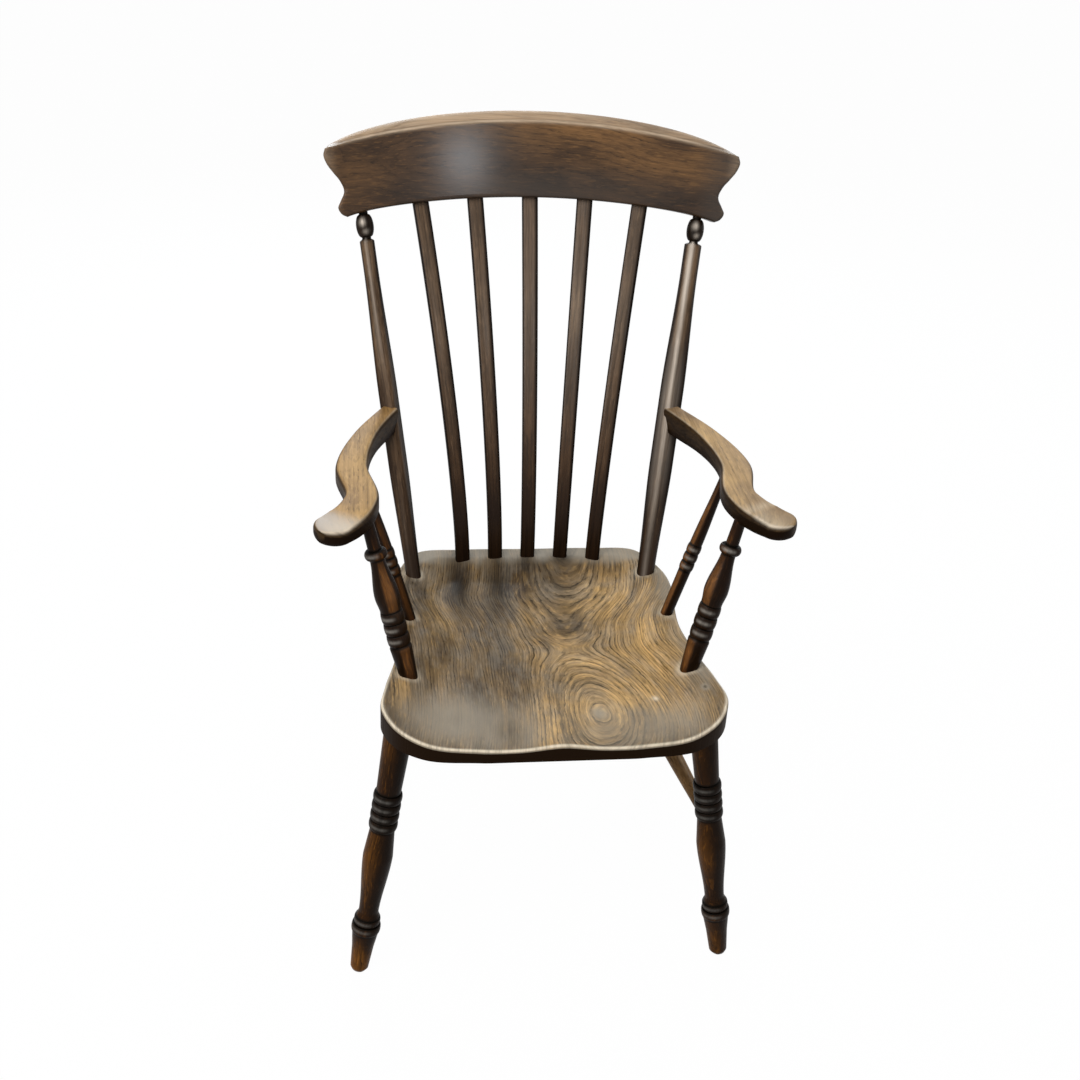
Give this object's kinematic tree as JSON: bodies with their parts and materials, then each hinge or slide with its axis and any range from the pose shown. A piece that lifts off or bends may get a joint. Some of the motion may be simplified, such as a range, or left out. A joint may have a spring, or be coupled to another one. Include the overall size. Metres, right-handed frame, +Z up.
{
  "type": "windsor armchair",
  "caption": "Wooden armchair with a saddled plank seat, turned legs tied by stretchers, bent laths that fan up to a curved crest rail, and sawn arms on turned supports.",
  "frame": {"origin": "on the floor, under the middle of the chair's bounding box", "axes": "+Z up, +Y from the front of the chair to its back, +X to the right of someone who faces the chair"},
  "size_m": [0.6032, 0.663, 1.0395],
  "materials": {
    "seat_wood": "worn satin polish over strong open grain",
    "leg_wood": "dark reddish satin polish, worn at the feet",
    "stretcher_wood": "rubbed satin polish",
    "crest_wood": "dark satin polish, rubbed along the top",
    "back_wood": "dark satin polish",
    "arm_wood": "pale, rubbed satin polish",
    "support_wood": "dark reddish satin polish"
  },
  "bodies": {
    "root": {"seat": "seat_wood", "front_leg_left": "leg_wood", "front_leg_right": "leg_wood", "rear_leg_left": "leg_wood", "rear_leg_right": "leg_wood", "side_stretcher_left": "stretcher_wood", "side_stretcher_right": "stretcher_wood", "cross_stretcher": "stretcher_wood", "crest_rail": "crest_wood", "back_lath_1": "back_wood", "back_lath_2": "back_wood", "back_lath_3": "back_wood", "back_lath_4": "back_wood", "back_lath_5": "back_wood", "back_post_left": "back_wood", "back_post_right": "back_wood", "arm_left": "arm_wood", "arm_right": "arm_wood", "arm_support_left": "support_wood", "arm_support_right": "support_wood", "arm_spindle_left": "support_wood", "arm_spindle_right": "support_wood"}
  },
  "joints": []
}
